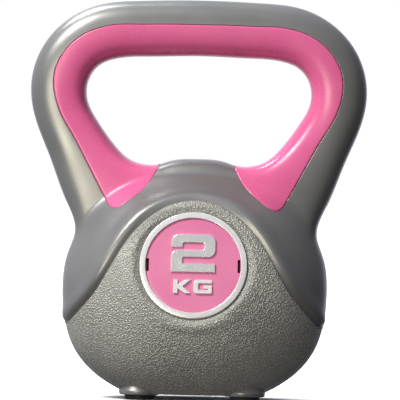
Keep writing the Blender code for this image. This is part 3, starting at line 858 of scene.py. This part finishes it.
def smooth_grey():
    """Satin silver-grey plastic, with a faint cloudiness and a very fine moulded skin."""
    n = new_material("grey_satin_skin")
    n.shader.inputs["Metallic"].default_value = 0.55
    cloud = n.noise(35.0, detail=3.0)
    colour = n.ramp(cloud, ((0.3, (0.236, 0.237, 0.234)), (0.7, (0.272, 0.273, 0.268))))
    roughness = n.span(cloud, 0.32, 0.39, 0.3, 0.7)
    return n.finish(n.bump(n.noise(2600.0), strength=0.12, distance=0.0002), colour, roughness)


def grained_grey_painted_sheen():
    """Moulded grain: small pebbles of uneven shape with finer pores on them. Their tops are painted
    paler as a highlight and the hollows between them darker as painted shade, over a random cloud in
    the grey.
    """
    n = new_material("grey_leather_grain_painted_sheen")
    n.shader.inputs["Metallic"].default_value = 0.5
    place = n.warped(n.noise(500.0, output="Color"), 0.0007)
    pebble = n.span(n.pebbles(1150.0, 0.2, place), 1.0, 0.0, 0.05, 0.6)
    pores = n.noise(1800.0, detail=3.0, roughness=0.6)
    height = n.math("ADD", n.math("MULTIPLY", pebble, 0.9), n.math("MULTIPLY", pores, 0.3))
    cloud = n.noise(40.0, detail=3.0)
    # Painted light in the colour: pebble tops painted paler as a highlight, hollows darker as painted
    # shade, plus a random cloud.
    tone = n.math("ADD", n.math("MULTIPLY", pebble, 0.55), n.math("MULTIPLY", cloud, 0.45))
    colour = n.ramp(tone, ((0.15, (0.310, 0.308, 0.285)), (0.75, (0.640, 0.628, 0.565))))
    return n.finish(n.bump(height, strength=1.0, distance=0.0004), colour, n.span(pebble, 0.6, 0.38))


def gloss_pink(name, dark, light, rough):
    """Glossy moulded plastic with the slightest orange peel and swirl in its colour."""
    n = new_material(name)
    n.shader.inputs["Subsurface Weight"].default_value = 0.06
    n.shader.inputs["Subsurface Radius"].default_value = (1.0, 0.3, 0.4)
    n.shader.inputs["Subsurface Scale"].default_value = 0.002
    swirl = n.noise(30.0, detail=4.0, roughness=0.55)
    colour = n.ramp(swirl, ((0.3, dark), (0.7, light)))
    roughness = n.span(n.noise(90.0, detail=3.0), rough - 0.03, rough + 0.05, 0.3, 0.7)
    return n.finish(n.bump(n.noise(260.0), strength=0.03, distance=0.0003), colour, roughness)


def bright_metal(name, rough, metallic):
    """Bright metal foil, with duller clouds and a crumpled, speckled shine."""
    n = new_material(name)
    n.shader.inputs["Metallic"].default_value = metallic
    cloud = n.noise(160.0, detail=4.0, roughness=0.65)
    colour = n.ramp(cloud, ((0.35, (0.84, 0.845, 0.84)), (0.65, (0.99, 0.99, 0.98))))
    roughness = n.span(cloud, rough + 0.14, rough, 0.35, 0.65)
    crumple = n.noise(1300.0, detail=3.0, roughness=0.6)
    return n.finish(n.bump(crumple, strength=0.35, distance=0.0002), colour, roughness)


def foot_rubber():
    """Black rubber with a little dust and a matt, faintly pitted skin."""
    n = new_material("foot_rubber")
    dust = n.noise(300.0, detail=4.0, roughness=0.6)
    colour = n.ramp(dust, ((0.35, (0.008, 0.008, 0.009)), (0.75, (0.022, 0.021, 0.021))))
    roughness = n.span(dust, 0.55, 0.8, 0.3, 0.7)
    return n.finish(n.bump(n.noise(1500.0), strength=0.2, distance=0.0002), colour, roughness)


def plug_plastic():
    """Dark grey moulded plastic of the filler plug."""
    n = new_material("plug_moulding")
    cloud = n.noise(120.0, detail=3.0)
    colour = n.ramp(cloud, ((0.3, (0.045, 0.045, 0.047)), (0.7, (0.062, 0.062, 0.064))))
    roughness = n.span(cloud, 0.45, 0.6, 0.3, 0.7)
    return n.finish(n.bump(n.noise(1200.0), strength=0.15, distance=0.0002), colour, roughness)


def cast_cement():
    """Gritty cast cement of the ballast inside the shell."""
    n = new_material("cast_cement")
    grit = n.noise(400.0, detail=6.0, roughness=0.7)
    colour = n.ramp(grit, ((0.3, (0.30, 0.29, 0.26)), (0.7, (0.48, 0.46, 0.42))))
    roughness = n.span(grit, 0.8, 0.95, 0.3, 0.7)
    return n.finish(n.bump(grit, strength=0.5, distance=0.001), colour, roughness)


# ---------------- small pieces

def make_turned(name, profile, place, material, sides):
    """Solid of revolution from a closed profile."""
    patches = Patchwork()
    patches.add(turned_grid([*profile, profile[0]], sides, place), 0, closed=True)
    return patches.build(name, [material], weld=0.001)


def foot_place(name):
    """Centre and radius of a foot, from its CAD node's box."""
    low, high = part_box(name)
    return (low + high) / 2 / MM, (high.x - low.x) / 2 / MM


def make_bosses(material):
    """Round bosses that carry the feet, moulded on the bowl's underside."""
    patches = Patchwork()
    profile = fillet(BOSS_PROFILE)
    for name in FEET:
        patches.add(turned_grid(profile, 64, upright(foot_place(name)[0])), 0, closed=True)
    return patches.build("shell_bosses", [material], weld=0.001)


def make_feet(material):
    """Rubber feet: a round pad with a rim round its hollow sole, and a stem up into the boss."""
    feet = []
    for name in FEET:
        centre, radius = foot_place(name)
        profile = fillet([
            (0, SOLE_HOLLOW, 0), (SOLE_HOLLOW_RADIUS, SOLE_HOLLOW, 0.15), (SOLE_RIM_RADIUS, 0.0, 0.15),
            (radius, 0.0, 0.7), (radius, PAD_TOP, 0.25), (STEM_RADIUS, PAD_TOP, 0),
            (STEM_RADIUS, STEM_TOP, 0.2), (0, STEM_TOP, 0)])
        pad = make_turned(name + "_pad", profile, upright(centre), material, sides=72)
        feet.append((pad, name))
    return feet


def offset_corners(corners, inset):
    """Clockwise corners moved inward, with outer bends tightened and inner bends widened to match."""
    result = []
    for k, (x, y, radius) in enumerate(corners):
        here = np.array((x, y), float)
        before = here - corners[k - 1][:2]
        after = corners[(k + 1) % len(corners)][:2] - here
        before /= np.linalg.norm(before)
        after /= np.linalg.norm(after)
        inward = np.array((before[1] + after[1], -before[0] - after[0]))
        moved = here + inward * inset / (1 + before @ after)
        turn = before[0] * after[1] - before[1] * after[0]
        result.append((*moved, max(radius + (inset if turn > 0 else -inset), SMALLEST_ROUND)))
    return result


def make_figure(name, corners, place, material, low=FIGURE_FOOT, high=FIGURE_TOP, edge=FIGURE_EDGE):
    """Raised block figure whose upper edges are rounded; its corners run clockwise."""
    patches = Patchwork()
    turns = [math.pi / 2 * k / 4 for k in range(5)]
    levels = [(0.0, low)]
    levels += [(edge * (1 - math.cos(turn)), high - edge * (1 - math.sin(turn))) for turn in turns]
    levels.append((edge + FIGURE_BORDER, high))
    rings = []
    for inset, height in levels:
        ring = fillet(offset_corners(corners, inset), 5)
        rings.append([place(x, z, height) for x, z in ring])
    grid = np.array(rings).transpose(1, 0, 2)
    patches.add(grid, 0, closed=True)
    work = patches.mesh()
    for column in (0, len(levels) - 1):
        face = work.faces.new([patches.verts[k * len(levels) + column] for k in range(len(grid))])
        bmesh.ops.triangulate(work, faces=[face], ngon_method="EAR_CLIP")
    bmesh.ops.recalc_face_normals(work, faces=work.faces)
    return finish_mesh(name, work, [material], sharp_angle=50)


def make_badge(face, side, materials):
    """Ring, disc and figures of one face's badge, each with the CAD node it replaces."""
    place = on_badge(side)
    rim = fillet(RING_PROFILE, 6)
    ring = make_turned("badge_rim_" + face, rim, place, materials["ring"], sides=160)
    shares = [k / CROWN_STEPS for k in range(CROWN_STEPS, -1, -1)]
    crown = [(CROWN_RADIUS * share, CROWN_HEIGHT * (1 - share ** 2)) for share in shares]
    profile = fillet(DISC_PROFILE) + crown
    disc = make_turned("badge_face_" + face, profile, place, materials["disc"], sides=128)
    cut_slots(disc, place, materials["slot"])
    pieces = [(ring, "badge_ring_" + face), (disc, "badge_disc_" + face)]
    figures = (
        ("figure_2_", FIGURE_TWO, "figure"), ("letter_k_", LETTER_K, "letter"),
        ("letter_g_", LETTER_G, "letter"))
    for name, corners, kind in figures:
        node = name + face
        pieces.append((make_figure(node + "_raised", corners, place, materials[kind]), node))
    return pieces


def cut_slots(disc, place, slot_shade_material):
    """Two short upright slots near the disc's left and right edges. Their faces take a near-black pink:
    painted shade inside the slots.
    """
    for x in (-SLOT_X, SLOT_X):
        corners = [
            (x + SLOT_HALF_WIDTH * across, SLOT_HALF_HEIGHT * up, SLOT_ROUND)
            for across, up in ((-1, 1), (1, 1), (1, -1), (-1, -1))]
        tool = make_figure("slot_tool", corners, place, slot_shade_material, SLOT_FLOOR, SLOT_TOOL_TOP, 0.01)
        step = disc.modifiers.new("slot", "BOOLEAN")
        step.operation = "DIFFERENCE"
        step.object = tool
        step.solver = "EXACT"
        step.material_mode = "TRANSFER"
        depsgraph = bpy.context.evaluated_depsgraph_get()
        mesh = bpy.data.meshes.new_from_object(disc.evaluated_get(depsgraph))
        disc.modifiers.clear()
        disc.data = mesh
        bpy.data.objects.remove(tool)
    disc.data.set_sharp_from_angle(angle=math.radians(35))


# ---------------- stage

def make_floor():
    """Pale floor that takes the object's shadow and gives no light of its own back to it."""
    n = new_material("pale_floor")
    n.shader.inputs["Specular IOR Level"].default_value = 0.0
    tone = n.noise(3.0)
    colour = n.ramp(tone, ((0.3, (0.92, 0.92, 0.92)), (0.7, (0.94, 0.94, 0.94))))
    n.finish(None, colour, n.span(tone, 0.9, 1.0))
    work = bmesh.new()
    bmesh.ops.create_grid(work, x_segments=8, y_segments=8, size=FLOOR_HALF_SIZE)
    floor = finish_mesh("floor", work, [n.owner])
    floor.visible_diffuse = False
    floor.visible_glossy = False
    return floor


def make_world():
    """White and plain to the eye. As light it is dim and cool, brighter on one side and behind."""
    world = bpy.data.worlds.new("studio")
    bpy.context.scene.world = world
    n = Nodes(world, "Background", "Generated")
    seen = n.add("ShaderNodeLightPath").outputs["Is Camera Ray"]
    axis = n.add("ShaderNodeSeparateXYZ")
    n.link(n.place, axis.inputs["Vector"])
    behind = n.span(axis.outputs["Y"], 0.0, 1.0, WORLD_BEHIND_FROM, WORLD_BEHIND_TO, "SMOOTHSTEP")
    towards = n.add("ShaderNodeVectorMath", operation="DOT_PRODUCT")
    towards.inputs[1].default_value = WORLD_BRIGHT_SIDE
    n.link(n.place, towards.inputs[0])
    sideways = n.span(
        towards.outputs["Value"], WORLD_DARK, WORLD_BRIGHT, WORLD_SIDE_FROM, 1.0, "SMOOTHSTEP")
    light = n.math("MAXIMUM", behind, sideways)
    strength = n.add("ShaderNodeMix", data_type="FLOAT")
    n.link(light, strength.inputs["A"])
    strength.inputs["B"].default_value = 1.0
    tint = n.add("ShaderNodeMix", data_type="RGBA")
    tint.inputs["A"].default_value = WORLD_TINT
    tint.inputs["B"].default_value = (1, 1, 1, 1)
    for mix, socket in ((strength, "Strength"), (tint, "Color")):
        n.link(seen, mix.inputs["Factor"])
        n.link(mix.outputs["Result"], n.shader.inputs[socket])


def direction(turn, rise):
    """Unit vector away from the object, for a turn and a rise in degrees."""
    turn, rise = math.radians(turn), math.radians(rise)
    return Vector((math.sin(turn) * math.cos(rise), -math.cos(turn) * math.cos(rise), math.sin(rise)))


def add_light(name, kind, turn, rise, distance, colour):
    """Light that looks at the object's middle from a turn and a rise."""
    data = bpy.data.lights.new(name, kind)
    data.color = colour
    away = direction(turn, rise)
    light = bpy.data.objects.new(name, data)
    light.location = OBJECT_MIDDLE + away * distance
    light.rotation_euler = (-away).to_track_quat("-Z", "Y").to_euler()
    bpy.context.scene.collection.objects.link(light)
    return light


def make_lights(floor):
    """Soft boxes for the object, and a broad overhead light that only the floor receives."""
    for name, turn, rise, distance, size, power, colour in SOFT_BOXES:
        light = add_light(name, "AREA", turn, rise, distance, colour)
        light.data.shape = "RECTANGLE"
        light.data.size, light.data.size_y = size
        light.data.energy = power
    above = add_light(
        "floor_light", "SUN", FLOOR_LIGHT_TURN, FLOOR_LIGHT_RISE, FLOOR_LIGHT_DISTANCE, (1, 1, 1))
    above.data.energy = FLOOR_LIGHT_POWER
    above.data.angle = math.radians(FLOOR_LIGHT_SPREAD)
    lit = bpy.data.collections.new("lit_by_floor_light")
    lit.objects.link(floor)
    above.light_linking.receiver_collection = lit


def make_camera():
    data = bpy.data.cameras.new("camera")
    data.sensor_width = SENSOR_WIDTH
    data.lens = SENSOR_WIDTH * CAMERA_DISTANCE / VIEW_WIDTH
    camera = bpy.data.objects.new("camera", data)
    away = direction(CAMERA_TURN, CAMERA_RISE)
    camera.location = CAMERA_AIM + away * CAMERA_DISTANCE
    look = (-away).to_track_quat("-Z", "Y").to_matrix()
    roll = Matrix.Rotation(math.radians(CAMERA_ROLL), 3, "Z")
    camera.rotation_euler = (look @ roll).to_euler()
    bpy.context.scene.collection.objects.link(camera)
    bpy.context.scene.camera = camera


# ---------------- assembly

def put(piece, node, slot):
    """Fix a piece to the part's one body in place of a CAD node, and hide that node. The slot argument
    is not used.
    """
    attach(piece, "root")
    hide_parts(node)


make_camera()
grey, grain = smooth_grey(), grained_grey_painted_sheen()
pink = gloss_pink("grip_gloss_pink", (0.72, 0.118, 0.300), (0.80, 0.148, 0.345), 0.27)
badge_materials = {
    "disc": gloss_pink("disc_gloss_pink", (0.76, 0.205, 0.40), (0.84, 0.255, 0.45), 0.2),
    # The slots' near-black pink is painted shade: the same pink plastic as the disc, darkened to stand
    # for the shade inside the slots.
    "slot": gloss_pink("slot_painted_shade_pink", (0.20, 0.008, 0.04), (0.26, 0.012, 0.05), 0.4),
    "ring": bright_metal("rim_bright_metal", 0.12, 0.35),
    "figure": bright_metal("figure_bright_metal", 0.16, 0.7),
    "letter": bright_metal("letter_bright_metal", 0.16, 0.3),
}

put(make_shell(grey, grain), "shell", "satin_grey")
put(make_bosses(grey), "shell", "satin_grey")
for grip, node in zip(make_grips(pink), ("grip_front", "grip_rear")):
    put(grip, node, "gloss_pink")
for face, side in (("front", -1), ("rear", 1)):
    for piece, node in make_badge(face, side, badge_materials):
        put(piece, node, "gloss_pink_disc" if "disc" in node else "bright_metal")
for piece, node in make_feet(foot_rubber()):
    put(piece, node, "black_rubber")
for node, material in (("filler_plug", plug_plastic()), ("ballast_core", cast_cement())):
    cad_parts[node].data.materials.clear()
    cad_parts[node].data.materials.append(material)

make_world()
make_lights(make_floor())
bpy.context.scene.view_settings.view_transform = "Standard"
